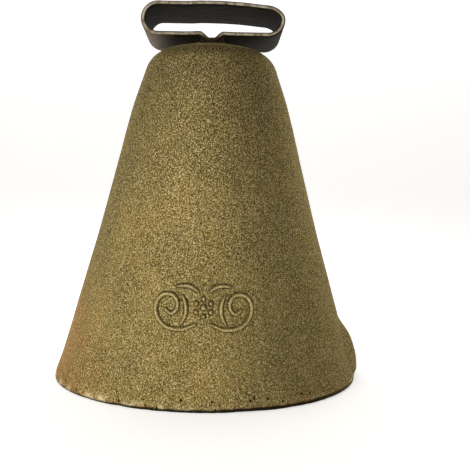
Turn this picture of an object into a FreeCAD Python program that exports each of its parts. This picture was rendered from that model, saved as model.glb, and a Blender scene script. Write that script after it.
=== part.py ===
import FreeCAD, Part
import math
import os

# A cast cowbell: a plain conical bell with a bent strip loop for a strap on its crown, and a
# clapper hung from a staple inside. Millimetres. The bell's axis is Z, the origin is the centre
# of the rim, the bell stands on its rim, and the loop's slot runs along Y. The front is -Y.

# Bell casting
mouth_radius = 50.1
bell_height = 106.6
lip_thickness = 3.0
crown_thickness = 4.8
crown_flat_radius = 12.5
rim_outer_rounding = 0.6
rim_inner_rounding = 0.5

# The side of the bell: share of the height, share of the mouth radius. A small flare at the
# lip, then nearly a straight cone that starts to turn in under the crown.
side_stations = (
    (0.00, 1.000),
    (0.08, 0.941),
    (0.25, 0.839),
    (0.45, 0.719),
    (0.65, 0.610),
    (0.82, 0.519),
    (0.94, 0.435),
)
shoulder_lean = 0.30    # inward over upward where the side meets the shoulder's curve
shoulder_fullness = 4.2

# Cast pad on the crown that the loop sits on
seat_height = 1.1
seat_margin = 1.6       # how far the pad reaches past the strip, at its foot
seat_width = 8.0
seat_draft = 2.4
pad_sink = 0.8          # how deep the pad starts inside the casting

# Domed boss low on the flank
boss_radius = 8.5       # from its middle to where it meets the wall above and below
boss_height = 2.4
boss_azimuth = 90.0     # degrees from the front, towards +X
boss_base_rise = 8.4    # centre of the boss above the rim
boss_overlap = 0.6      # how far the dome runs on inside the wall

# Loop: one steel strip, bent round with a dip in the middle of its lower run
strip_thickness = 1.5
strip_width = 21.7
slot_width = 43.1
slot_height = 8.1
loop_shift = 0.4        # the hand-bent loop sits this far off the bell's axis
dip_width = 8.2
dip_depth = 2.0
dip_floor = 1.3
dip_bend = 1.6          # centreline radius of the dip's bends
dip_angle = 42.0

# Staple: round bar with two thinner ends that pass up through plate, crown and strip
staple_bar = 3.6
staple_spread = 11.0
staple_bend = 3.4
staple_drop = 11.6
rivet_shank = 2.6
rivet_clearance = 0.05
rivet_head_radius = 2.2
rivet_head_height = 1.2
shank_overlap = 0.2     # length of a shank inside its head

plate_radius = 8.6
plate_thickness = 1.6

# Link and clapper
wire_clearance = 0.3    # radial gap where one wire hangs in another
link_wire = 3.0
link_reach = 9.0        # between its two pivots
link_corner = 2.0
rod_wire = 3.5
ball_radius = 12.0
ball_rise = 15.0        # centre of the ball above the rim
ball_flat = 0.6         # depth of the flats filed at the ball's two poles
ball_hole_clearance = 0.03
collar_radius = 2.9
collar_height = 1.4
tip_head_height = 1.2

cut_overshoot = 1.0     # how far a cutting shape runs past the faces that it cuts

# Levels that follow from the sizes above
crown_inside = bell_height - crown_thickness
seat_top = bell_height + seat_height
plate_bottom = crown_inside - plate_thickness
staple_axis = plate_bottom - staple_drop
link_axis = staple_axis - link_reach
dip_inside = seat_top + strip_thickness
run_centre = seat_top + dip_depth + strip_thickness / 2
ball_top = ball_rise + ball_radius - ball_flat
ball_bottom = ball_rise - ball_radius + ball_flat
rivet_hole_radius = rivet_shank / 2 + rivet_clearance

vector = FreeCAD.Vector
up = vector(0, 0, 1)
along_x = vector(1, 0, 0)
along_y = vector(0, 1, 0)


def cylinder(radius, length, base, direction=up):
    return Part.makeCylinder(radius, length, base, direction)


def fuse_all(shapes):
    result = shapes[0].fuse(shapes[1:])
    return result.removeSplitter()


def side_curve(inset, height):
    """Curve of one side of the wall in the XZ plane, from the rim up to the shoulder."""
    points = [vector(share * mouth_radius - inset, 0, rise * height) for rise, share in side_stations]
    side = Part.BSplineCurve()
    lean = vector(-shoulder_lean, 0, 1)
    side.interpolate(Points=points, InitialTangent=points[1] - points[0], FinalTangent=lean)
    return side


def point_at_level(side, rise):
    level = Part.makeLine(vector(0, 0, rise), vector(2 * mouth_radius, 0, rise))
    return side.toShape().distToShape(level)[1][0][0]


def wall_outline(inset, height, rounding, flat_direction):
    """Edges of one surface of the bell: rounded rim corner, side, shoulder and flat crown."""
    side = side_curve(inset, height)
    corner = side.StartPoint
    top = side.EndPoint
    lean = vector(-shoulder_lean, 0, 1)
    side_foot = point_at_level(side, rounding)
    side.segment(side.parameter(side_foot), side.LastParameter)
    rim_corner = Part.BezierCurve()
    rim_corner.setPoles([corner + along_x * (flat_direction * rounding), corner, side_foot])
    flat = crown_flat_radius - inset
    shoulder = Part.BezierCurve()
    shoulder.setPoles([
        top,
        top + lean * shoulder_fullness,
        vector(flat + shoulder_fullness, 0, height),
        vector(flat, 0, height),
    ])
    crown = Part.makeLine(vector(flat, 0, height), vector(0, 0, height))
    return [rim_corner.toShape(), side.toShape(), shoulder.toShape(), crown]


def wall_point(rise):
    """A point of the outer side in the XZ plane, and the outward normal there."""
    side = side_curve(0.0, bell_height)
    point = point_at_level(side, rise)
    tangent = side.tangent(side.parameter(point))[0]
    return point, vector(tangent.z, 0, -tangent.x)


def boss():
    """Low dome square to the wall, cut off inside the wall and above the rim's rounding."""
    point, normal = wall_point(boss_base_rise)
    dome_radius = (boss_radius ** 2 + boss_height ** 2) / (2 * boss_height)
    side_reach = math.sqrt(2 * boss_height / (1 / dome_radius - 1 / point.x)) + boss_overlap
    root = side_reach ** 2 / (2 * dome_radius) - boss_height
    dome = Part.makeSphere(dome_radius, point + normal * (boss_height - dome_radius))
    cap = dome.common(cylinder(dome_radius, dome_radius, point - normal * root, normal))
    cap = cap.common(cylinder(2 * mouth_radius, bell_height, up * rim_outer_rounding))
    cap.rotate(vector(0, 0, 0), up, boss_azimuth - 90.0)
    return cap


def rectangle(width, length, level):
    corners = [(-1, -1), (1, -1), (1, 1), (-1, 1), (-1, -1)]
    return Part.makePolygon([vector(x * width / 2, y * length / 2, level) for x, y in corners])


def loop_seat():
    foot = rectangle(seat_width + 2 * seat_draft, strip_width + 2 * seat_margin, bell_height - pad_sink)
    top = rectangle(seat_width, strip_width + 2 * seat_margin - seat_draft, seat_top)
    return Part.makeLoft([foot, top], True, True)


def rivet_places():
    return [vector(0, side * staple_spread / 2, 0) for side in (-1, 1)]


def bell_body():
    outside = wall_outline(0.0, bell_height, rim_outer_rounding, -1)
    inside = wall_outline(lip_thickness, crown_inside, rim_inner_rounding, 1)
    rim = Part.makeLine(
        vector(mouth_radius - lip_thickness + rim_inner_rounding, 0, 0),
        vector(mouth_radius - rim_outer_rounding, 0, 0),
    )
    axis = Part.makeLine(vector(0, 0, crown_inside), vector(0, 0, bell_height))
    section = Part.Wire(Part.__sortEdges__([rim, axis] + outside + inside))
    shell = Part.Face(section).revolve(vector(0, 0, 0), up, 360)
    body = shell.fuse([boss(), loop_seat()])
    hole_length = crown_thickness + seat_height + 2 * cut_overshoot
    for place in rivet_places():
        start = place + up * (crown_inside - cut_overshoot)
        body = body.cut(cylinder(rivet_hole_radius, hole_length, start))
    return body


def arc(centre, radius, start, end):
    """Arc in the XZ plane; angles in degrees from +X towards +Z."""
    angles = [math.radians(a) for a in (start, (start + end) / 2, end)]
    points = [centre + vector(radius * math.cos(a), 0, radius * math.sin(a)) for a in angles]
    return Part.Arc(*points).toShape()


def strip_outline(offset):
    """One face of the bent strip in the XZ plane; a positive offset is towards the slot."""
    turn = (slot_height + strip_thickness) / 2
    level = run_centre + offset
    top_level = run_centre + 2 * turn - offset
    reach = slot_width / 2 - slot_height / 2
    left = vector(loop_shift - reach, 0, run_centre + turn)
    right = vector(loop_shift + reach, 0, run_centre + turn)
    start = dip_width / 2
    floor_end = dip_floor / 2
    upper = vector(-start, 0, run_centre - dip_bend)
    lower = vector(-floor_end, 0, run_centre - dip_depth + dip_bend)
    turn_down = arc(upper, dip_bend + offset, 90, 90 - dip_angle)
    level_out = arc(lower, dip_bend - offset, 270 - dip_angle, 270)
    slope = Part.makeLine(turn_down.Vertexes[1].Point, level_out.Vertexes[0].Point)
    turn_up = arc(vector(floor_end, 0, lower.z), dip_bend - offset, 270, 270 + dip_angle)
    level_off = arc(vector(start, 0, upper.z), dip_bend + offset, 90 + dip_angle, 90)
    slope_up = Part.makeLine(turn_up.Vertexes[1].Point, level_off.Vertexes[0].Point)
    floor_level = level - dip_depth
    return Part.Wire([
        Part.makeLine(vector(left.x, 0, level), vector(-start, 0, level)),
        turn_down,
        slope,
        level_out,
        Part.makeLine(vector(-floor_end, 0, floor_level), vector(floor_end, 0, floor_level)),
        turn_up,
        slope_up,
        level_off,
        Part.makeLine(vector(start, 0, level), vector(right.x, 0, level)),
        arc(right, turn - offset, -90, 90),
        Part.makeLine(vector(right.x, 0, top_level), vector(left.x, 0, top_level)),
        arc(left, turn - offset, 90, 270),
    ])


def strap_loop():
    outer = Part.Face(strip_outline(-strip_thickness / 2))
    inner = Part.Face(strip_outline(strip_thickness / 2))
    strip = outer.extrude(along_y * strip_width).cut(inner.extrude(along_y * strip_width))
    strip.translate(along_y * (-strip_width / 2))
    hole_length = strip_thickness + 2 * cut_overshoot
    for place in rivet_places():
        start = place + up * (seat_top - cut_overshoot)
        strip = strip.cut(cylinder(rivet_hole_radius, hole_length, start))
    return strip


def swept_wire(edges, diameter, direction):
    """Round wire along a path of joined edges, which starts in the given direction."""
    path = Part.Wire(Part.__sortEdges__(edges))
    start = path.OrderedVertexes[0].Point
    section = Part.Wire(Part.makeCircle(diameter / 2, start, direction))
    return path.makePipeShell([section], True, False)


def clapper_staple(strip):
    half = staple_spread / 2
    low = staple_axis + staple_bend
    turn_in = half - staple_bend
    quarter = staple_bend * math.sqrt(0.5)
    front_bend = Part.Arc(
        vector(0, -half, low),
        vector(0, -turn_in - quarter, low - quarter),
        vector(0, -turn_in, staple_axis),
    ).toShape()
    back_bend = front_bend.mirror(vector(0, 0, 0), along_y)
    edges = [
        Part.makeLine(vector(0, -half, plate_bottom), vector(0, -half, low)),
        front_bend,
        Part.makeLine(vector(0, -turn_in, staple_axis), vector(0, turn_in, staple_axis)),
        back_bend,
        Part.makeLine(vector(0, half, low), vector(0, half, plate_bottom)),
    ]
    pieces = [swept_wire(edges, staple_bar, up)]
    dome = (rivet_head_radius ** 2 + rivet_head_height ** 2) / (2 * rivet_head_height)
    shank_length = dip_inside - plate_bottom + shank_overlap
    for place in rivet_places():
        top = place + up * dip_inside
        pieces.append(cylinder(rivet_shank / 2, shank_length, place + up * plate_bottom))
        ball = Part.makeSphere(dome, top + up * (rivet_head_height - dome))
        cap = ball.common(cylinder(dome, dome, top))
        pieces.append(cap.cut(strip.copy()))
    return fuse_all(pieces)


def backing_plate():
    plate = cylinder(plate_radius, plate_thickness, up * plate_bottom)
    hole_length = plate_thickness + 2 * cut_overshoot
    for place in rivet_places():
        start = place + up * (plate_bottom - cut_overshoot)
        plate = plate.cut(cylinder(rivet_hole_radius, hole_length, start))
    return plate


def clapper_link():
    """Wire link in the XZ plane: its round top hangs on the staple, its straight foot carries the rod."""
    half = staple_bar / 2 + wire_clearance + link_wire / 2
    foot = half - link_corner
    low = link_axis + link_corner
    edges = [
        arc(vector(0, 0, staple_axis), half, 0, 180),
        Part.makeLine(vector(-half, 0, staple_axis), vector(-half, 0, low)),
        arc(vector(-foot, 0, low), link_corner, 180, 270),
        Part.makeLine(vector(-foot, 0, link_axis), vector(foot, 0, link_axis)),
        arc(vector(foot, 0, low), link_corner, 270, 360),
        Part.makeLine(vector(half, 0, low), vector(half, 0, staple_axis)),
    ]
    return swept_wire(edges, link_wire, up)


def clapper_rod():
    eye_radius = link_wire / 2 + wire_clearance + rod_wire / 2
    eye = Part.makeTorus(eye_radius, rod_wire / 2, vector(0, 0, link_axis), along_x)
    tip = ball_bottom - tip_head_height
    rod = cylinder(rod_wire / 2, link_axis - eye_radius - tip, up * tip)
    collar = cylinder(collar_radius, collar_height, up * ball_top)
    head = cylinder(collar_radius, tip_head_height, up * tip)
    return fuse_all([eye, rod, collar, head])


def clapper_ball():
    """Ball with a flat at each pole for the rod's collar and riveted tip."""
    ball = Part.makeSphere(ball_radius, up * ball_rise)
    between_flats = cylinder(ball_radius + cut_overshoot, ball_top - ball_bottom, up * ball_bottom)
    hole_length = ball_top - ball_bottom + 2 * cut_overshoot
    hole = cylinder(rod_wire / 2 + ball_hole_clearance, hole_length, up * (ball_bottom - cut_overshoot))
    return ball.common(between_flats).cut(hole)


nodes = {
    "bell_body": bell_body(),
    "strap_loop": strap_loop(),
    "backing_plate": backing_plate(),
    "clapper_link": clapper_link(),
    "clapper_rod": clapper_rod(),
    "clapper_ball": clapper_ball(),
}
nodes["clapper_staple"] = clapper_staple(nodes["strap_loop"])

os.makedirs("parts", exist_ok=True)
for name, shape in nodes.items():
    solid = shape.Solids[0]
    solid.exportStep("parts/" + name + ".step")
    print(name, len(shape.Solids), solid.isValid(), round(solid.Volume, 1))
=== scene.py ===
import math

import bmesh
import bpy
from mathutils import Matrix, Vector, geometry, noise


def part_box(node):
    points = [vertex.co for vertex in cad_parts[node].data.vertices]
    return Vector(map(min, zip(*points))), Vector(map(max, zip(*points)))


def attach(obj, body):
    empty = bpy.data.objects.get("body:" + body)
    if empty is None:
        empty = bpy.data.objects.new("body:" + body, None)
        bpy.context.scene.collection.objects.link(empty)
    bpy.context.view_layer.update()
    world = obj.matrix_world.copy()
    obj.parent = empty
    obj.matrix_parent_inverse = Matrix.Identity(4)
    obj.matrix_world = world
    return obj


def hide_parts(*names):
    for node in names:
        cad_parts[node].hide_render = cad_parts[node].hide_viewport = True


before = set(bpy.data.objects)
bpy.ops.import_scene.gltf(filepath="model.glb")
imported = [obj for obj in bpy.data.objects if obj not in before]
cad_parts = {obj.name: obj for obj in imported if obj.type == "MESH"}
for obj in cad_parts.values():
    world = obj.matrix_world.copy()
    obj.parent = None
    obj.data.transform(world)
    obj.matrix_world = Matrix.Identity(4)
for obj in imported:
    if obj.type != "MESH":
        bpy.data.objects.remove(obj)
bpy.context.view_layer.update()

mm = 0.001


def smooth(low, high, value):
    share = min(max((value - low) / (high - low), 0.0), 1.0)
    return share * share * (3 - 2 * share)


def curveThrough(points, stepsPerSpan):
    # a soft curve through a few points, leaving each towards the line between its neighbours
    points = [Vector(p) for p in points]
    leans = []
    for i, point in enumerate(points):
        before = points[max(i - 1, 0)]
        after = points[min(i + 1, len(points) - 1)]
        leans.append((after - before).normalized())
    line = [points[0]]
    for i in range(len(points) - 1):
        reach = (points[i + 1] - points[i]).length / 3
        span = geometry.interpolate_bezier(
            points[i], points[i] + leans[i] * reach,
            points[i + 1] - leans[i + 1] * reach, points[i + 1], stepsPerSpan + 1)
        line += [Vector(p) for p in span[1:]]
    return line


def arcPoints(centre, radius, start, end, steps):
    angles = [math.radians(start + (end - start) * i / steps) for i in range(steps + 1)]
    return [Vector((centre[0] + radius * math.cos(a), 0, centre[1] + radius * math.sin(a))) for a in angles]


def joinPoints(bm, points, closed=False):
    verts = [bm.verts.new(p) for p in points]
    pairs = list(zip(verts, verts[1:] + verts[:1]))
    return [bm.edges.new(pair) for pair in (pairs if closed else pairs[:-1])]


def makeObject(bm, name, material):
    mesh = bpy.data.meshes.new(name)
    bm.to_mesh(mesh)
    bm.free()
    for polygon in mesh.polygons:
        polygon.use_smooth = True
    piece = bpy.data.objects.new(name, mesh)
    bpy.context.scene.collection.objects.link(piece)
    mesh.materials.append(material)
    return piece


def colour(hexText):
    # sRGB hex to the linear colour that the shaders take
    parts = [int(hexText[i:i + 2], 16) / 255 for i in (1, 3, 5)]
    return [p / 12.92 if p <= 0.04045 else ((p + 0.055) / 1.055) ** 2.4 for p in parts] + [1.0]


def addNode(tree, kind, inputs=None, **settings):
    # an input is a plain value, a socket, or a node whose first output is meant
    node = tree.nodes.new("ShaderNode" + kind)
    for name, value in settings.items():
        setattr(node, name, value)
    for key, value in (inputs or {}).items():
        if isinstance(value, bpy.types.Node):
            value = value.outputs[0]
        if isinstance(value, bpy.types.NodeSocket):
            tree.links.new(value, node.inputs[key])
        else:
            node.inputs[key].default_value = value
    return node


def newMaterial(name, metallic, roughness):
    material = bpy.data.materials.new(name)
    material.use_nodes = True
    tree = material.node_tree
    shader = tree.nodes["Principled BSDF"]
    shader.inputs["Metallic"].default_value = metallic
    shader.inputs["Roughness"].default_value = roughness
    return material, tree, shader


def layTints(tree, base, coats):
    # each coat is a mask and the tint that it brings; the later ones lie on top
    for mask, tint in coats:
        base = addNode(tree, "Mix", {0: mask, 6: base, 7: colour(tint)}, data_type="RGBA").outputs[2]
    return base


def perMm(size):
    # noise scale for features of about that many millimetres, on Object coordinates in metres
    return 1 / (size * mm)


bronze = {
    "golden": "#978249",
    "olive": "#766B3B",
    "shade": "#4C400F",
    "copper": "#A8602E",
    "leftFlankShade": "#4E4226",
    "darkGrain": "#2A2310",
    "brightGrain": "#E3D09C",
    "spark": "#F2E4BC",
    "shadeAndSoot": "#0E0B06",
    "tarnish": "#7A4A26",
    "edgeTint": "#E8DBB4",
    "inside": "#57492B",
    "grainSize": 0.34,          # mm, the coarsest grains of the moulding sand
    "sparkSize": 0.5,           # mm, as are all the sizes below
    "scuffSize": 0.5,
    "scratchWidth": 0.6,
    "bumpSize": 1.6,
    "pinholeSpacing": 2.2,
    "runWidth": 3.0,
    "rubSize": 6.0,
    "blotchSize": 9.0,
    "cloudSize": 14.0,
    "shadeFrom": 13 * mm,       # where the painted shade on the right flank starts, and where it is darkest
    "shadeFull": 49 * mm,
    "blushFrom": -24 * mm,      # the same for the warm left flank, and how high it reaches
    "blushFull": -47 * mm,
    "blushTop": 50 * mm,
    "pinholeTop": 4.8 * mm,     # no pinhole lies higher than this
    "bandTop": 2.4 * mm,        # top of the rubbed strip above the rim
    "paintedCrownShade": 0.6,
    "metallic": 0.8,
    "roughness": 0.5,
}


def sandCastBronze():
    # Bronze cast in sand and left to age: a fine hard grain whose tips are rubbed bright and whose
    # hollows keep dark dirt, olive where it was handled little and copper-red low on one flank.
    # painted light: shade on the right flank, a strip of the left flank, the crown and the creases,
    # highlights on crests and glints on a few grains
    material, tree, shader = newMaterial("sandCastBronze", bronze["metallic"], bronze["roughness"])
    shader.inputs["Specular Tint"].default_value = colour(bronze["edgeTint"])
    place = addNode(tree, "TexCoord").outputs["Object"]
    x, y, z = addNode(tree, "SeparateXYZ", {0: place}).outputs
    cloud = addNode(tree, "TexNoise", {"Vector": place, "Scale": perMm(bronze["cloudSize"]),
                                       "Detail": 5.0, "Roughness": 0.6})
    cloudMask = addNode(tree, "MapRange", {0: cloud, 1: 0.28, 2: 0.72, 3: 0.12, 4: 0.86},
                        interpolation_type="SMOOTHSTEP")
    # painted shade: darker and greener towards the right flank
    rightFlankShade = addNode(tree, "MapRange", {0: x, 1: bronze["shadeFrom"], 2: bronze["shadeFull"], 4: 0.75},
                        interpolation_type="SMOOTHSTEP")
    # the left flank is warmer, most of all low down and in front
    leftward = addNode(tree, "MapRange", {0: x, 1: bronze["blushFrom"], 2: bronze["blushFull"]},
                       interpolation_type="SMOOTHSTEP")
    inFront = addNode(tree, "MapRange", {0: y, 2: 30 * mm, 3: 1.0, 4: 0.3})
    lowDown = addNode(tree, "MapRange", {0: z, 1: bronze["blushTop"], 2: 4 * mm, 3: 0.1})
    flank = addNode(tree, "Math", {0: leftward, 1: inFront}, operation="MULTIPLY")
    blush = addNode(tree, "Math", {0: flank, 1: lowDown}, operation="MULTIPLY")
    blotch = addNode(tree, "TexNoise", {"Vector": place, "Scale": perMm(bronze["blotchSize"]),
                                        "Detail": 6.0, "Roughness": 0.65})
    blotchMask = addNode(tree, "MapRange", {0: blotch, 1: 0.32, 2: 0.66, 3: 0.15, 4: 0.85})
    blushMask = addNode(tree, "Math", {0: blush, 1: blotchMask}, operation="MULTIPLY")
    # painted shade: above it a darker brown strip runs up the same flank, at one share of the wall's radius
    wallRadius = addNode(tree, "MapRange", {0: z, 2: 100 * mm, 3: 50.5 * mm, 4: 24 * mm}, clamp=False)
    offAxis = addNode(tree, "Math", {0: x, 1: wallRadius}, operation="DIVIDE")
    strip = addNode(tree, "MapRange", {0: offAxis, 1: -0.66, 2: -0.84, 4: 0.5},
                    interpolation_type="SMOOTHSTEP")
    above = addNode(tree, "MapRange", {0: z, 1: 22 * mm, 2: bronze["blushTop"]})
    leftShadeAbove = addNode(tree, "Math", {0: strip, 1: above}, operation="MULTIPLY")
    leftShadeMask = addNode(tree, "Math", {0: leftShadeAbove, 1: inFront}, operation="MULTIPLY")
    base = layTints(tree, colour(bronze["olive"]), (
        (cloudMask, bronze["golden"]), (rightFlankShade, bronze["shade"]),
        (blushMask, bronze["copper"]), (leftShadeMask, bronze["leftFlankShade"])))

    # faint runs down the wall, as old polish leaves
    tall = addNode(tree, "Mapping", {"Vector": place, "Scale": (1.0, 1.0, 0.05)})
    runs = addNode(tree, "TexNoise", {"Vector": tall, "Scale": perMm(bronze["runWidth"]), "Detail": 3.0})
    runMask = addNode(tree, "MapRange", {0: runs, 1: 0.35, 2: 0.7, 3: 0.9, 4: 1.1})
    base = addNode(tree, "VectorMath", {0: base, 1: runMask}, operation="MULTIPLY")
    # a few fine scratches the same way
    taller = addNode(tree, "Mapping", {"Vector": place, "Scale": (1.0, 1.0, 0.03)})
    scratches = addNode(tree, "TexNoise", {"Vector": taller, "Scale": perMm(bronze["scratchWidth"]),
                                           "Detail": 2.0})
    scratchMask = addNode(tree, "MapRange", {0: scratches, 1: 0.66, 2: 0.72, 4: 0.35})
    base = layTints(tree, base, ((scratchMask, bronze["brightGrain"]),))
    # painted shade: darker towards the crown
    high = addNode(tree, "MapRange", {0: z, 1: 50 * mm, 2: 100 * mm, 3: 1.0, 4: bronze["paintedCrownShade"]})
    base = addNode(tree, "VectorMath", {0: base, 1: high}, operation="MULTIPLY")

    # the grain itself, about as coarse as the moulding sand, and worn down near the rim
    grain = addNode(tree, "TexNoise", {"Vector": place, "Scale": perMm(bronze["grainSize"]),
                                       "Detail": 2.0, "Roughness": 0.7})
    hollows = addNode(tree, "MapRange", {0: grain, 1: 0.5, 2: 0.34})
    tips = addNode(tree, "MapRange", {0: grain, 1: 0.52, 2: 0.66})
    worn = addNode(tree, "MapRange", {0: z, 1: 20 * mm, 2: 50 * mm, 3: 0.8})
    darkMask = addNode(tree, "Math", {0: hollows, 1: worn}, operation="MULTIPLY")
    brightMask = addNode(tree, "Math", {0: tips, 1: worn}, operation="MULTIPLY")
    # painted glints: a few larger grains are painted bright, as if they caught the light
    largeGrain = addNode(tree, "TexNoise", {"Vector": place, "Scale": perMm(bronze["sparkSize"]),
                                            "Detail": 1.0, "Roughness": 0.6})
    paintedGlints = addNode(tree, "MapRange", {0: largeGrain, 1: 0.69, 2: 0.75, 4: 0.7})
    # pinholes that gas left close to the rim
    cells = addNode(tree, "TexVoronoi", {"Vector": place, "Scale": perMm(bronze["pinholeSpacing"])})
    nearRim = addNode(tree, "MapRange", {0: z, 1: bronze["pinholeTop"], 2: bronze["pinholeTop"] - 1.2 * mm})
    reach = addNode(tree, "MapRange", {0: cells, 1: 0.2, 2: 0.12})
    pinholes = addNode(tree, "Math", {0: nearRim, 1: reach}, operation="MULTIPLY")
    # the strip just above the rim is rubbed bright in patches and brown between them
    band = addNode(tree, "MapRange", {0: z, 1: bronze["bandTop"], 2: bronze["bandTop"] - 1.0 * mm})
    rubbed = addNode(tree, "TexNoise", {"Vector": place, "Scale": perMm(bronze["rubSize"]),
                                        "Detail": 7.0, "Roughness": 0.75})
    rubbedMask = addNode(tree, "MapRange", {0: rubbed, 1: 0.5, 2: 0.66, 4: 0.85})
    brownMask = addNode(tree, "MapRange", {0: rubbed, 1: 0.52, 2: 0.4, 4: 0.4})
    wear = addNode(tree, "Math", {0: band, 1: rubbedMask}, operation="MULTIPLY")
    tarnish = addNode(tree, "Math", {0: band, 1: brownMask}, operation="MULTIPLY")
    # the casting's own layers: the inside that never sees a cloth, crests rubbed and painted with
    # highlights, painted shade in creases and corners
    inner, wearAndHighlight, creaseShade = (addNode(tree, "Attribute", attribute_name=layer).outputs["Fac"]
                            for layer in ("inner", "wearAndHighlight", "creaseShade"))
    scuffs = addNode(tree, "TexNoise", {"Vector": place, "Scale": perMm(bronze["scuffSize"]),
                                        "Detail": 3.0, "Roughness": 0.7})
    scuffMask = addNode(tree, "MapRange", {0: scuffs, 1: 0.42, 2: 0.6, 3: 0.3})
    wearAndHighlightMask = addNode(tree, "Math", {0: wearAndHighlight, 1: scuffMask}, operation="MULTIPLY")
    base = layTints(tree, base, (
        (darkMask, bronze["darkGrain"]), (brightMask, bronze["brightGrain"]), (paintedGlints, bronze["spark"]),
        (wear, bronze["spark"]), (tarnish, bronze["tarnish"]), (pinholes, bronze["shadeAndSoot"]),
        (inner, bronze["inside"]), (wearAndHighlightMask, bronze["brightGrain"]), (creaseShade, bronze["shadeAndSoot"])))
    tree.links.new(base, shader.inputs["Base Color"])

    rough = addNode(tree, "MapRange", {0: grain, 1: 0.35, 2: 0.7, 3: 0.7, 4: 0.42})
    tree.links.new(rough.outputs[0], shader.inputs["Roughness"])
    uneven = addNode(tree, "TexNoise", {"Vector": place, "Scale": perMm(bronze["bumpSize"]), "Detail": 2.0})
    heights = addNode(tree, "Math", {0: uneven, 1: 0.5, 2: grain}, operation="MULTIPLY_ADD")
    sunk = addNode(tree, "Math", {0: heights, 1: pinholes}, operation="SUBTRACT")
    bump = addNode(tree, "Bump", {"Height": sunk.outputs[0], "Strength": 0.6, "Distance": 0.3 * mm})
    tree.links.new(bump.outputs[0], shader.inputs["Normal"])
    return material


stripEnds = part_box("strap_loop")
stripHalf = stripEnds[1].y
steel = {
    "scale": "#16130C",
    "brown": "#2A2013",
    "worn": "#BBB5A6",
    "wornBrown": "#75664E",
    "shadeAndDirt": "#3B3020",
    "rubbed": "#7A7062",
    "litLittle": "#241F16",
    "rust": "#6A4426",
    "grey": "#4B4640",
    "bendRadius": 5.55 * mm,    # outside of the end bends
    "bendRise": (stripEnds[0].z + stripEnds[1].z) / 2 + 1.0 * mm,
    "litReach": 12 * mm,        # how far in from the ends the bends are painted lit
    "dipShadeAndDirtHalfWidth": 4.4 * mm,  # the painted shade and dirt in the dip, and how high it reaches
    "dipShadeAndDirtTop": 110.4 * mm,
    "strapRoughness": 0.7,
    "forgedRoughness": 0.48,
}


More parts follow.
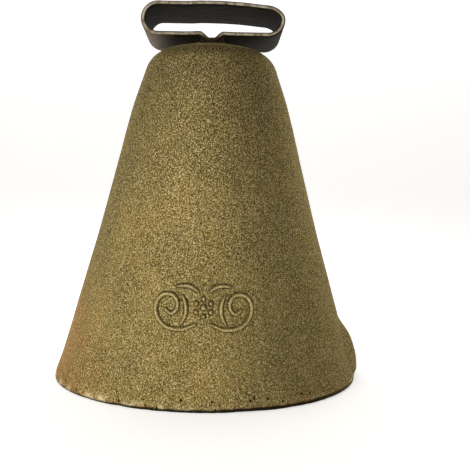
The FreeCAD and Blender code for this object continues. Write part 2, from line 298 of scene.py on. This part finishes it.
def oxidisedStripSteel():
    # Hot-rolled mild steel strip under its dark oxide: nearly black and a little brown, dull, with
    # faint lengthwise drawing marks, and rubbed to bare metal on its cut edges.
    material, tree, shader = newMaterial("oxidisedStripSteel", 0.3, steel["strapRoughness"])
    shader.inputs["Specular IOR Level"].default_value = 0.06
    place = addNode(tree, "TexCoord").outputs["Object"]
    x, y, z = addNode(tree, "SeparateXYZ", {0: place}).outputs
    along = addNode(tree, "Mapping", {"Vector": place, "Scale": (0.12, 1.0, 1.0)})
    marks = addNode(tree, "TexNoise", {"Vector": along, "Scale": perMm(0.8), "Detail": 4.0})
    mottle = addNode(tree, "TexNoise", {"Vector": place, "Scale": perMm(3.0), "Detail": 6.0,
                                        "Roughness": 0.65})
    mottleMask = addNode(tree, "MapRange", {0: mottle, 1: 0.4, 2: 0.68})
    base = layTints(tree, colour(steel["scale"]), ((mottleMask, steel["brown"]),))
    markMask = addNode(tree, "MapRange", {0: marks, 1: 0.35, 2: 0.7, 3: 0.7, 4: 1.35})
    base = addNode(tree, "VectorMath", {0: base, 1: markMask}, operation="MULTIPLY")
    # the top was scuffed in use
    scuffs = addNode(tree, "TexNoise", {"Vector": along, "Scale": perMm(1.6), "Detail": 6.0,
                                        "Roughness": 0.7})
    wornPatches = addNode(tree, "MapRange", {0: scuffs, 1: 0.36, 2: 0.6, 3: 0.35})
    top = addNode(tree, "MapRange", {0: z, 1: stripEnds[1].z - 1.2 * mm, 2: stripEnds[1].z - 0.5 * mm})
    scuffMask = addNode(tree, "MapRange", {0: scuffs, 1: 0.48, 2: 0.66, 4: 0.55})
    topMask = addNode(tree, "Math", {0: top, 1: scuffMask}, operation="MULTIPLY")
    coats = [(topMask, steel["rubbed"])]
    # painted light: the outside of the left bend is painted lit from the left, the right one less
    for side, end, tint in ((-1, stripEnds[0].x, "rubbed"), (1, stripEnds[1].x, "litLittle")):
        centre = (end - side * steel["bendRadius"], 0.0, steel["bendRise"])
        fromCentre = addNode(tree, "VectorMath", {0: place, 1: centre}, operation="SUBTRACT")
        seenFlat = addNode(tree, "VectorMath", {0: fromCentre, 1: (1.0, 0.0, 1.0)}, operation="MULTIPLY")
        # beyond the bend's centre the strip runs level, so only its height counts there
        pastCentre = addNode(tree, "VectorMath", {0: seenFlat, 1: (0.0, -side, -side)},
                             operation="MINIMUM" if side < 0 else "MAXIMUM")
        far = addNode(tree, "VectorMath", {0: pastCentre}, operation="LENGTH").outputs["Value"]
        outer = addNode(tree, "MapRange", {0: far, 1: steel["bendRadius"] - 0.95 * mm,
                                           2: steel["bendRadius"] - 0.45 * mm})
        towardsEnd = addNode(tree, "MapRange", {0: x, 1: end - side * steel["litReach"], 2: end - side * mm},
                             interpolation_type="SMOOTHSTEP")
        litBend = addNode(tree, "Math", {0: outer, 1: towardsEnd}, operation="MULTIPLY")
        patchy = addNode(tree, "Math", {0: litBend, 1: wornPatches}, operation="MULTIPLY")
        coats.append((patchy, steel[tint]))
    base = layTints(tree, base, coats)
    # the two cut edges, rubbed bright in places and brown in others
    across = addNode(tree, "Math", {0: y}, operation="ABSOLUTE")
    edge = addNode(tree, "MapRange", {0: across, 1: stripHalf - 0.06 * mm, 2: stripHalf - 0.002 * mm})
    flecks = addNode(tree, "TexNoise", {"Vector": place, "Scale": perMm(1.4), "Detail": 5.0,
                                        "Roughness": 0.6})
    fleckMask = addNode(tree, "MapRange", {0: flecks, 1: 0.36, 2: 0.66})
    # painted shade and packed dirt round the dip, where the loop sits on the crown
    aside = addNode(tree, "Math", {0: x}, operation="ABSOLUTE")
    middle = addNode(tree, "MapRange", {0: aside, 1: steel["dipShadeAndDirtHalfWidth"], 2: 2.8 * mm})
    low = addNode(tree, "MapRange", {0: z, 1: steel["dipShadeAndDirtTop"], 2: steel["dipShadeAndDirtTop"] - 1.4 * mm})
    dipShadeAndDirt = addNode(tree, "Math", {0: middle, 1: low}, operation="MULTIPLY")
    bare = layTints(tree, colour(steel["wornBrown"]), ((fleckMask, steel["worn"]), (dipShadeAndDirt, steel["shadeAndDirt"])))
    base = addNode(tree, "Mix", {0: edge, 6: base, 7: bare}, data_type="RGBA").outputs[2]
    tree.links.new(base, shader.inputs["Base Color"])
    shine = addNode(tree, "MapRange", {0: edge, 3: 0.03, 4: 0.7})
    tree.links.new(shine.outputs[0], shader.inputs["Metallic"])
    bump = addNode(tree, "Bump", {"Height": mottle.outputs[0], "Strength": 0.35, "Distance": 0.2 * mm})
    tree.links.new(bump.outputs[0], shader.inputs["Normal"])
    return material


def forgedSteel():
    # Mild steel forged at a red heat and never cleaned: grey scale, brown rust in patches.
    material, tree, shader = newMaterial("forgedSteel", 0.7, steel["forgedRoughness"])
    place = addNode(tree, "TexCoord").outputs["Object"]
    mottle = addNode(tree, "TexNoise", {"Vector": place, "Scale": perMm(2.2), "Detail": 6.0,
                                        "Roughness": 0.65})
    mask = addNode(tree, "MapRange", {0: mottle, 1: 0.45, 2: 0.66})
    base = layTints(tree, colour(steel["grey"]), ((mask, steel["rust"]),))
    tree.links.new(base, shader.inputs["Base Color"])
    rough = addNode(tree, "MapRange", {0: mottle, 1: 0.4, 2: 0.7, 3: 0.4, 4: 0.75})
    tree.links.new(rough.outputs[0], shader.inputs["Roughness"])
    bump = addNode(tree, "Bump", {"Height": mottle.outputs[0], "Strength": 0.4, "Distance": 0.15 * mm})
    tree.links.new(bump.outputs[0], shader.inputs["Normal"])
    return material


bellMetal = sandCastBronze()
stripMetal = oxidisedStripSteel()
forgedMetal = forgedSteel()
print("materials made")


view = {
    "place": (4.12 * mm, -228.48 * mm, 53.94 * mm),
    "lens": 51.93,
    "pitch": -0.0345,           # radians, as are the two turns below
    "yaw": 0.0208,
    "roll": 0.0194,
}


def aimCamera():
    camera = bpy.data.cameras.new("camera")
    camera.lens = view["lens"]
    camera.sensor_width = 36.0
    camera.clip_start = 5 * mm
    holder = bpy.data.objects.new("camera", camera)
    bpy.context.scene.collection.objects.link(holder)
    pitch, yaw, roll = view["pitch"], view["yaw"], view["roll"]
    forward = Vector((math.cos(pitch) * math.sin(yaw), math.cos(pitch) * math.cos(yaw), math.sin(pitch)))
    level = Vector((math.cos(yaw), -math.sin(yaw), 0))
    upward = level.cross(forward)
    right = level * math.cos(roll) + upward * math.sin(roll)
    top = upward * math.cos(roll) - level * math.sin(roll)
    turn = Matrix((right, top, -forward)).transposed().to_4x4()
    holder.matrix_world = Matrix.Translation(view["place"]) @ turn
    bpy.context.scene.camera = holder


# metres and watts
lights = {
    "key": {"place": (-0.18, -0.51, 0.14), "size": 0.85, "power": 3.6, "tint": "#FFF8EC"},
    "left": {"place": (-0.55, -0.02, 0.12), "size": 0.30, "power": 0.7, "tint": "#FFF8EC"},
    "right": {"place": (0.42, 0.30, 0.12), "size": 0.25, "power": 0.1, "tint": "#FFF8EC"},
    "back": {"place": (0.0, 0.42, 0.42), "size": 0.50, "power": 0.8, "tint": "#FFFFFF"},
}
lightAim = Vector((0, 0, 55 * mm))


def addLight(name):
    values = lights[name]
    lamp = bpy.data.lights.new(name, "AREA")
    lamp.energy = values["power"]
    lamp.size = values["size"]
    lamp.color = colour(values["tint"])[:3]
    holder = bpy.data.objects.new(name, lamp)
    bpy.context.scene.collection.objects.link(holder)
    holder.location = values["place"]
    aim = lightAim - Vector(values["place"])
    holder.rotation_euler = aim.to_track_quat("-Z", "Y").to_euler()


paper = {
    "tint": "#F7F6F4",
    "roughness": 0.85,
    "glow": 0.55,
    "front": -1.2,              # metres, as are the four sizes below
    "bendStart": 0.5,
    "bendRadius": 0.35,
    "top": 1.4,
    "halfWidth": 1.6,
    "drop": 0.1 * mm,           # how far it lies below the rim
}
surroundings = {
    "tint": "#FFFFFF",
    "light": 0.12,              # how strongly they light the bell
    "look": 0.93,               # how bright they look
}


def makePaper():
    # one pale sheet: level under the bell, then curved up behind it
    material, tree, shader = newMaterial("palePaper", 0.0, paper["roughness"])
    shader.inputs["Base Color"].default_value = colour(paper["tint"])
    shader.inputs["Emission Color"].default_value = colour("#FFFFFF")
    shader.inputs["Emission Strength"].default_value = paper["glow"]
    # nothing hides the bell's mouth from below: the sheet's back lets the view through
    behind = addNode(tree, "NewGeometry").outputs["Backfacing"]
    clear = addNode(tree, "BsdfTransparent")
    sheet = addNode(tree, "MixShader", {0: behind, 1: shader, 2: clear})
    tree.links.new(sheet.outputs[0], tree.nodes["Material Output"].inputs["Surface"])
    bm = bmesh.new()
    start, bend = paper["bendStart"], paper["bendRadius"]
    outline = [Vector((0, paper["front"], 0)), Vector((0, start, 0))]
    for i in range(1, 17):
        angle = math.radians(90 * i / 16)
        outline.append(Vector((0, start + bend * math.sin(angle), bend - bend * math.cos(angle))))
    outline.append(Vector((0, start + bend, paper["top"])))
    edges = joinPoints(bm, [p - Vector((paper["halfWidth"], 0, paper["drop"])) for p in outline])
    made = bmesh.ops.extrude_edge_only(bm, edges=edges)["geom"]
    moved = [g for g in made if isinstance(g, bmesh.types.BMVert)]
    bmesh.ops.translate(bm, verts=moved, vec=(2 * paper["halfWidth"], 0, 0))
    bm.normal_update()
    turned = [face for face in bm.faces if face.normal.z < -0.01 or face.normal.y > 0.01]
    bmesh.ops.reverse_faces(bm, faces=turned)
    return makeObject(bm, "paperSweep", material)


def makeSurroundings():
    world = bpy.data.worlds.new("studio")
    world.use_nodes = True
    tree = world.node_tree
    background = tree.nodes["Background"]
    background.inputs["Color"].default_value = colour(surroundings["tint"])
    # they look nearly white but light the bell only a little
    seen = addNode(tree, "LightPath").outputs["Is Camera Ray"]
    strength = addNode(tree, "MapRange", {0: seen, 3: surroundings["light"], 4: surroundings["look"]})
    tree.links.new(strength.outputs[0], background.inputs["Strength"])
    bpy.context.scene.world = world
    bpy.context.scene.view_settings.view_transform = "Standard"


aimCamera()
for lightName in lights:
    addLight(lightName)
makePaper()
makeSurroundings()
print("camera, light and paper placed")


bellLow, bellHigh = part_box("bell_body")
bell = {
    "mouthRadius": -bellLow.x,
    "height": bellHigh.z - 1.1 * mm,
    "lip": 3.0 * mm,
    "crown": 4.8 * mm,
    "crownFlat": 12.5 * mm,
    "outerRounding": 0.6 * mm,
    "innerRounding": 0.5 * mm,
    "shoulderLean": 0.30,
    "shoulderFullness": 4.2 * mm,
    "segments": 288,
    "waviness": 0.08 * mm,      # how uneven the hand-made mould left the wall
    "waveLength": 14 * mm,
    "rimTuck": 0.28 * mm,       # how far the rim is knocked in, and up to what height
    "tuckRise": 2.6 * mm,
    "rimWear": 0.22 * mm,       # how deep it is nicked, and up to what height
    "wearRise": 1.2 * mm,
    "rimShadeRise": 0.8 * mm,       # how far the painted shade reaches up from the rim
    "rubbedAndLitRise": 106.0 * mm,   # the height where the shoulder's crest is rubbed most and painted brightest
    "strikeRise": 22.0 * mm,    # where the clapper's ball meets the wall
    "strikeRadius": 4.5 * mm,
}
# height and radius of the side, as shares of the bell's height and its mouth's radius
sideStations = ((0.0, 1.0), (0.08, 0.941), (0.25, 0.839), (0.45, 0.719),
                (0.65, 0.610), (0.82, 0.519), (0.94, 0.435))
bellSide = curveThrough(
    [Vector((share * bell["mouthRadius"], 0, rise * bell["height"])) for rise, share in sideStations], 14)


def wallOutline(inset, height, rounding, towardsWall, sideSteps, crownSteps):
    # from the rim's flat up the side and over the shoulder to the axis
    stations = [Vector((share * bell["mouthRadius"] - inset, 0, rise * height))
                for rise, share in sideStations]
    side = curveThrough(stations, sideSteps)
    corner = stations[0]
    foot = next(p for p in side if p.z > rounding)
    cut = side.index(foot)
    low = geometry.interpolate_bezier(
        corner + Vector((towardsWall * rounding, 0, 0)), corner + Vector((towardsWall * rounding / 3, 0, 0)),
        corner.lerp(foot, 0.35), foot, 6)
    top = stations[-1]
    flat = bell["crownFlat"] - inset
    fullness = bell["shoulderFullness"]
    shoulder = geometry.interpolate_bezier(
        top, top + Vector((-bell["shoulderLean"], 0, 1)) * fullness,
        Vector((flat + fullness, 0, height)), Vector((flat, 0, height)), 12)
    crown = [Vector((flat * (1 - i / crownSteps), 0, height)) for i in range(1, crownSteps + 1)]
    return [Vector(p) for p in low] + side[cut + 1:] + [Vector(p) for p in shoulder[1:]] + crown


def outerRadius(rise):
    # the casting's outside radius at a height, read from the side's own curve
    for a, b in zip(bellSide, bellSide[1:]):
        if a.z <= rise <= b.z:
            return a.x + (b.x - a.x) * (rise - a.z) / (b.z - a.z)
    return bellSide[0 if rise < 0 else -1].x


ornament = {
    "rise": 27.0 * mm,          # middle of the ornament above the rim
    "shift": -0.3 * mm,
    "bead": 0.56 * mm,          # half the width of a raised line
    "relief": 0.6 * mm,
    "creaseDepth": 0.08 * mm,
    "creaseAt": 1.15,           # the crease beside a line and its width, in half line widths
    "creaseWidth": 0.28,
    "dots": 6,
    "dotRing": 2.35,            # millimetres, as are the points of the lines
    "patch": (16.5 * mm, 8.0 * mm),
}
# One half of a plain scroll in millimetres from the ornament's middle; the other half mirrors it.
vine = ((2.2, -4.3), (6.2, -5.7), (11.0, -4.7), (13.6, -0.8), (12.2, 3.0),
        (8.8, 3.5), (7.2, 0.9), (8.7, -1.5), (10.5, -0.6))
tendril = ((1.6, 4.6), (4.2, 6.0), (7.4, 5.9))
leaf = ((6.4, -4.6), (5.0, -1.8), (5.0, 1.2), (5.9, 3.4))


def ornamentStrokes():
    strokes = []
    for hand in (-1, 1):
        for line, taper in ((vine, 0.75), (tendril, 0.6), (leaf, 0.5)):
            points = curveThrough([Vector((hand * x, y, 0)) * mm for x, y in line], 8)
            count = len(points) - 1
            for i in range(count):
                share = (i + 0.5) / count
                width = taper + (1 - taper) * math.sin(math.pi * share) ** 0.6
                strokes.append((points[i], points[i + 1], width))
    middle = Vector((0, 0.2, 0)) * mm
    strokes.append((middle, middle, 1.35))
    for i in range(ornament["dots"]):
        turn = math.radians(90 + 360 * i / ornament["dots"])
        dot = middle + Vector((math.cos(turn), math.sin(turn), 0)) * ornament["dotRing"] * mm
        strokes.append((dot, dot, 1.1))
    return strokes


def strokeRelief(point, strokes):
    # height of the raised line at a point of the unrolled wall, and how deep in its crease the point is
    height = 0.0
    creaseShade = 0.0
    for start, end, width in strokes:
        # strokes farther off than a few line widths can't reach the point
        if abs(point.x - start.x) > 4 * mm or abs(point.y - start.y) > 4 * mm:
            continue
        nearest = start
        if start != end:
            share = min(max(geometry.intersect_point_line(point, start, end)[1], 0.0), 1.0)
            nearest = start.lerp(end, share)
        away = (point - nearest).length / (ornament["bead"] * width)
        if away < 1.0:
            height = max(height, math.sqrt(1 - away * away) * width ** 0.5)
        creaseShade = max(creaseShade, math.exp(-((away - ornament["creaseAt"]) / ornament["creaseWidth"]) ** 2))
    return height, creaseShade * (1 - smooth(0.0, 0.6, height))


def raiseOrnament(v, start, radius, strokes, layers):
    # how far the raised lines lift the wall at this point
    rise = start.z - ornament["rise"]
    spot = Vector((math.atan2(start.x, -start.y) * radius - ornament["shift"], rise, 0))
    wide, tall = ornament["patch"]
    if start.y >= 0 or abs(spot.x) >= wide or abs(spot.y) >= tall:
        return 0.0
    height, creaseShade = strokeRelief(spot, strokes)
    # painted shade in the crease beside each raised line, and a painted highlight on its top
    v[layers["creaseShade"]] = creaseShade * 0.95
    v[layers["wearAndHighlight"]] = 0.75 * smooth(0.6, 1.0, height)
    return height * ornament["relief"] - ornament["creaseDepth"] * creaseShade


boss = {
    "rise": 8.3 * mm,
    "height": 2.7 * mm,
    "top": 3.0 * mm,            # radius of the level part
    "foot": 14.9 * mm,          # radius where the swelling has run out into the wall
    "fullness": 1.2,
    "corner": 0.06,             # share of the height that is lost where it meets the wall
    "shadeAndDirt": 0.4,
    "level": bellHigh.x - 0.03 * mm,
    "ease": 0.5 * mm,
    "patch": (15.5 * mm, 24.0 * mm),
}
bossFoot = Vector((outerRadius(boss["rise"]), 0, boss["rise"]))
bossSlope = (outerRadius(boss["rise"] + mm) - outerRadius(boss["rise"] - mm)) / (2 * mm)
bossNormal = Vector((1, 0, -bossSlope)).normalized()
bossUp = Vector((bossSlope, 0, 1)).normalized()


def raiseBoss(v, start, layers):
    away = start - bossFoot
    across = math.hypot(away.y, away.dot(bossUp))
    if start.x <= 0 or across >= boss["foot"]:
        return
    share = (1 - smooth(boss["top"], boss["foot"], across)) ** boss["fullness"]
    # painted shade lies round its foot, where it meets the wall at a slight corner
    shadeAndDirt = boss["shadeAndDirt"] * math.exp(-((share - boss["corner"]) / 0.05) ** 2) * smooth(0.0, 0.02, share)
    v[layers["creaseShade"]] = max(v[layers["creaseShade"]], shadeAndDirt)
    share = max(share - boss["corner"], 0.0) / (1 - boss["corner"])
    v.co += bossNormal * boss["height"] * share * smooth(0.0, bell["tuckRise"], start.z)
    # its face is dressed nearly level with the rim
    over = v.co.x - boss["level"] + boss["ease"]
    if over > 0:
        v.co.x = boss["level"] - boss["ease"] * math.exp(-over / boss["ease"])


saddle = {
    "height": 1.08 * mm,
    "halfWidth": 4.0 * mm,
    "halfLength": 11.3 * mm,
    "slope": 1.5 * mm,
}


def raiseSaddle(v, start, layers):
    # the pad on the crown that carries the loop
    wide = 1 - smooth(saddle["halfWidth"], saddle["halfWidth"] + saddle["slope"], abs(start.x))
    long = 1 - smooth(saddle["halfLength"], saddle["halfLength"] + saddle["slope"], abs(start.y))
    v.co.z += saddle["height"] * wide * long
    # painted shade on the pad, which lies under the loop
    v[layers["creaseShade"]] = 0.6 * smooth(0.0, 0.3, wide * long)


def wearRim(v, start, outward, layers):
    # the rim is knocked in a little, most of all below the boss
    low = 1 - smooth(0.0, bell["tuckRise"], start.z)
    v.co -= outward * bell["rimTuck"] * (1 + max(outward.x, 0.0)) * low
    # painted shade darkens the edge under the rim, and the edge is nicked, more of both to the right
    edge = bell["rimShadeRise"] + 0.3 * mm * noise.noise(start / (3.5 * mm)) + 0.5 * mm * outward.x
    shadeAndDirt = 0.97 * (1 - smooth(edge - 0.15 * mm, edge + 0.35 * mm, start.z))
    v[layers["creaseShade"]] = max(v[layers["creaseShade"]], shadeAndDirt)
    if start.z < bell["wearRise"]:
        nick = max(noise.noise(start / (5 * mm)), 0.0) + 0.7 * max(noise.noise(start / (1.7 * mm)), 0.0)
        nick += 1.3 * smooth(0.6, 1.0, outward.x)
        v.co.z += bell["rimWear"] * nick * (1 - start.z / bell["wearRise"])


def onOutside(place):
    ceiling = bell["height"] - bell["crown"] + 0.05 * mm
    middleRadius = outerRadius(place.z) - bell["lip"] / 2 - 0.1 * mm
    return place.z > ceiling or math.hypot(place.x, place.y) > middleRadius


def inOrnament(middle):
    wide, tall = ornament["patch"]
    return middle.y < 0 and abs(middle.x) < wide and abs(middle.z - ornament["rise"]) < tall


def inBoss(middle):
    wide, tall = boss["patch"]
    return middle.x > 0 and abs(middle.y) < wide and 2 * mm < middle.z < tall


def inRim(middle):
    return middle.z < 2 * mm


def turnedBell():
    # the plain turned casting, with a finer mesh for the ornament, the boss and the rim
    bm = bmesh.new()
    outside = wallOutline(0.0, bell["height"], bell["outerRounding"], -1, 14, 30)
    inside = wallOutline(bell["lip"], bell["height"] - bell["crown"], bell["innerRounding"], 1, 6, 4)
    edges = joinPoints(bm, list(reversed(outside)) + inside)
    bmesh.ops.spin(bm, geom=list(bm.verts) + edges, cent=(0, 0, 0), axis=(0, 0, 1), angle=math.tau,
                   steps=bell["segments"], use_merge=True)
    bmesh.ops.remove_doubles(bm, verts=bm.verts, dist=0.01 * mm)
    bmesh.ops.recalc_face_normals(bm, faces=bm.faces)
    for chosen, cuts in ((inOrnament, 4), (inBoss, 1), (inRim, 1)):
        faces = [f for f in bm.faces if chosen(f.calc_center_median()) and onOutside(f.verts[0].co)]
        patchEdges = dict.fromkeys(edge for face in faces for edge in face.edges)
        bmesh.ops.subdivide_edges(bm, edges=list(patchEdges), cuts=cuts, use_grid_fill=True)
    return bm


def makeBell():
    bm = turnedBell()
    layers = {name: bm.verts.layers.float.new(name) for name in ("creaseShade", "wearAndHighlight", "inner")}
    strokes = ornamentStrokes()
    for v in bm.verts:
        if not onOutside(v.co):
            v[layers["inner"]] = 1.0
            # the clapper has beaten a bright spot at each end of its swing
            off = math.hypot(v.co.y, v.co.z - bell["strikeRise"]) / bell["strikeRadius"]
            v[layers["wearAndHighlight"]] = 0.9 * math.exp(-off * off)
            continue
        start = v.co.copy()
        radius = math.hypot(start.x, start.y)
        if start.z > bell["height"] - 0.1 * mm:
            raiseSaddle(v, start, layers)
        if radius < 0.5 * mm:
            continue
        outward = Vector((start.x, start.y, 0)) / radius
        relief = raiseOrnament(v, start, radius, strokes, layers)
        raiseBoss(v, start, layers)
        uneven = noise.fractal(start / bell["waveLength"], 1.0, 2.0, 2)
        fade = smooth(1 * mm, 5 * mm, start.z) * (1 - smooth(96 * mm, 104 * mm, start.z))
        v.co += outward * (relief + bell["waviness"] * uneven * fade)
        wearRim(v, start, outward, layers)
        # the crest of the shoulder is rubbed, and painted with a highlight
        if radius > bell["crownFlat"]:
            rubbed = smooth(bell["rubbedAndLitRise"] - 1.4 * mm, bell["rubbedAndLitRise"], start.z)
            v[layers["wearAndHighlight"]] = max(v[layers["wearAndHighlight"]], rubbed)
    return makeObject(bm, "bellCasting", bellMetal)


bellCasting = makeBell()
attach(bellCasting, "bell")
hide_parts("bell_body")
print("bell casting", len(bellCasting.data.polygons), "faces")


loopLow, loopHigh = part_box("strap_loop")
loop = {
    "thickness": 1.5 * mm,
    "edgeRounding": 0.55 * mm,
    "lowRun": loopLow.z + 2.75 * mm,        # centre of the strip's lower run
    "dipDepth": 2.0 * mm,
    "dipHalfWidth": 4.1 * mm,
    "dipFloor": 0.65 * mm,
    "dipBend": 1.6 * mm,
    "dipAngle": 42,
    "sag": 0.35 * mm,           # how far the left end hangs lower
    "softCorner": 1.3 * mm,     # how far the upper right corner was knocked in
    "dents": 0.12 * mm,
    "dentSpacing": 9 * mm,
    "rows": 10,
}


def loopLine():
    # centreline of the strip seen from the front, from the dip round to the right
    half = loop["thickness"] / 2
    low = loop["lowRun"]
    high = loopHigh.z - half
    turn = (high - low) / 2
    left = loopLow.x + half + turn
    right = loopHigh.x - half - turn
    bend, angle = loop["dipBend"], loop["dipAngle"]
    start, floorEnd = loop["dipHalfWidth"], loop["dipFloor"]
    upper, lower = low - bend, low - loop["dipDepth"] + bend
    line = arcPoints((floorEnd, lower), bend, 270, 270 + angle, 5)
    line += arcPoints((start, upper), bend, 90 + angle, 90, 5)
    line += [Vector((start + (right - start) * i / 12, 0, low)) for i in range(1, 12)]
    line += arcPoints((right, low + turn), turn, -90, 90, 24)
    line += [Vector((right + (left - right) * i / 24, 0, high)) for i in range(1, 24)]
    line += arcPoints((left, low + turn), turn, 90, 270, 24)
    line += [Vector((left + (-start - left) * i / 12, 0, low)) for i in range(1, 12)]
    line += arcPoints((-start, upper), bend, 90, 90 - angle, 5)
    line += arcPoints((-floorEnd, lower), bend, 270 - angle, 270, 5)
    return line


def makeLoop():
    bm = bmesh.new()
    wide = loopHigh.y - loopLow.y
    edges = joinPoints(bm, [p + Vector((0, loopLow.y, 0)) for p in loopLine()], closed=True)
    for i in range(loop["rows"]):
        made = bmesh.ops.extrude_edge_only(bm, edges=edges)["geom"]
        edges = [g for g in made if isinstance(g, bmesh.types.BMEdge)]
        moved = [g for g in made if isinstance(g, bmesh.types.BMVert)]
        bmesh.ops.translate(bm, verts=moved, vec=(0, wide / loop["rows"], 0))
    bmesh.ops.recalc_face_normals(bm, faces=bm.faces)
    for v in bm.verts:
        x, z = v.co.x, v.co.z
        upper = smooth(loop["lowRun"] + 4 * mm, loopHigh.z, z)
        leftShare = (loopHigh.x - x) / (loopHigh.x - loopLow.x)
        v.co.z -= loop["sag"] * leftShare * smooth(3 * mm, 8 * mm, abs(x))
        v.co.z -= loop["softCorner"] * smooth(6 * mm, loopHigh.x, x) * upper
        v.co.z -= loop["dents"] * max(noise.noise(v.co / loop["dentSpacing"]), 0.0) * upper
    piece = makeObject(bm, "strapLoop", stripMetal)
    wall = piece.modifiers.new("thickness", "SOLIDIFY")
    wall.thickness = loop["thickness"]
    wall.offset = 0.0
    wall.use_even_offset = True
    rounding = piece.modifiers.new("edges", "BEVEL")
    rounding.width = loop["edgeRounding"]
    rounding.segments = 5
    rounding.limit_method = "ANGLE"
    rounding.angle_limit = math.radians(60)
    return piece


strapLoop = makeLoop()
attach(strapLoop, "bell")
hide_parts("strap_loop")
print("strap loop made")


ballLow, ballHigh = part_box("clapper_ball")
ball = {
    "radius": (ballHigh.x - ballLow.x) / 2,
    "seam": 0.22 * mm,
    "seamWidth": 0.5 * mm,
    "pebbles": 0.1 * mm,
    "iron": "#3B3A38",
    "rust": "#5E3F27",
    "beaten": "#A9A49A",
    "beatenFrom": 0.82,         # shares of the radius, out from the middle
    "beatenFull": 0.95,
}


def castIron():
    # Grey iron as cast: dark grey and pebbled, brown with rust, and beaten bright where it strikes.
    material, tree, shader = newMaterial("castIron", 0.75, 0.55)
    place = addNode(tree, "TexCoord").outputs["Object"]
    swingward = addNode(tree, "SeparateXYZ", {0: place}).outputs["X"]
    mottle = addNode(tree, "TexNoise", {"Vector": place, "Scale": perMm(2.5), "Detail": 6.0,
                                        "Roughness": 0.65})
    mask = addNode(tree, "MapRange", {0: mottle, 1: 0.46, 2: 0.64})
    aside = addNode(tree, "Math", {0: swingward}, operation="ABSOLUTE")
    beaten = addNode(tree, "MapRange", {0: aside, 1: ball["beatenFrom"] * ball["radius"],
                                        2: ball["beatenFull"] * ball["radius"]})
    base = layTints(tree, colour(ball["iron"]), ((mask, ball["rust"]), (beaten, ball["beaten"])))
    tree.links.new(base, shader.inputs["Base Color"])
    rough = addNode(tree, "MapRange", {0: beaten, 3: 0.62, 4: 0.32})
    tree.links.new(rough.outputs[0], shader.inputs["Roughness"])
    pebbles = addNode(tree, "TexNoise", {"Vector": place, "Scale": perMm(0.6), "Detail": 2.0})
    bump = addNode(tree, "Bump", {"Height": pebbles.outputs[0], "Strength": 0.5, "Distance": 0.15 * mm})
    tree.links.new(bump.outputs[0], shader.inputs["Normal"])
    return material


def makeBall():
    # two half moulds met in the plane of the rod, so the seam runs round through both flats
    centre = (ballLow + ballHigh) / 2
    flat = (ballHigh.z - ballLow.z) / 2
    bm = bmesh.new()
    bmesh.ops.create_uvsphere(bm, u_segments=96, v_segments=72, radius=ball["radius"] - ball["seam"],
                              matrix=Matrix.Rotation(math.radians(90), 4, "X"))
    for side in (-1, 1):
        everything = bm.verts[:] + bm.edges[:] + bm.faces[:]
        cut = bmesh.ops.bisect_plane(bm, geom=everything, plane_co=(0, 0, side * flat),
                                     plane_no=(0, 0, side), clear_outer=True)["geom_cut"]
        bmesh.ops.contextual_create(bm, geom=[g for g in cut if isinstance(g, bmesh.types.BMEdge)])
    for v in bm.verts:
        if abs(v.co.z) < flat - 0.01 * mm:
            raised = ball["seam"] * math.exp(-(v.co.y / ball["seamWidth"]) ** 2)
            v.co += v.co.normalized() * (raised - ball["pebbles"] * max(noise.noise(v.co / (3 * mm)), 0.0))
            v.co.z = min(max(v.co.z, -flat), flat)
    bmesh.ops.translate(bm, verts=bm.verts, vec=centre)
    bmesh.ops.recalc_face_normals(bm, faces=bm.faces)
    return makeObject(bm, "clapperBall", castIron())


clapperBall = makeBall()
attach(clapperBall, "clapper")
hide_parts("clapper_ball")
print("clapper ball made")


for name in ("clapper_staple", "backing_plate", "clapper_link", "clapper_rod"):
    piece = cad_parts[name]
    piece.data.materials.clear()
    piece.data.materials.append(forgedMetal)
print("forged pieces finished")
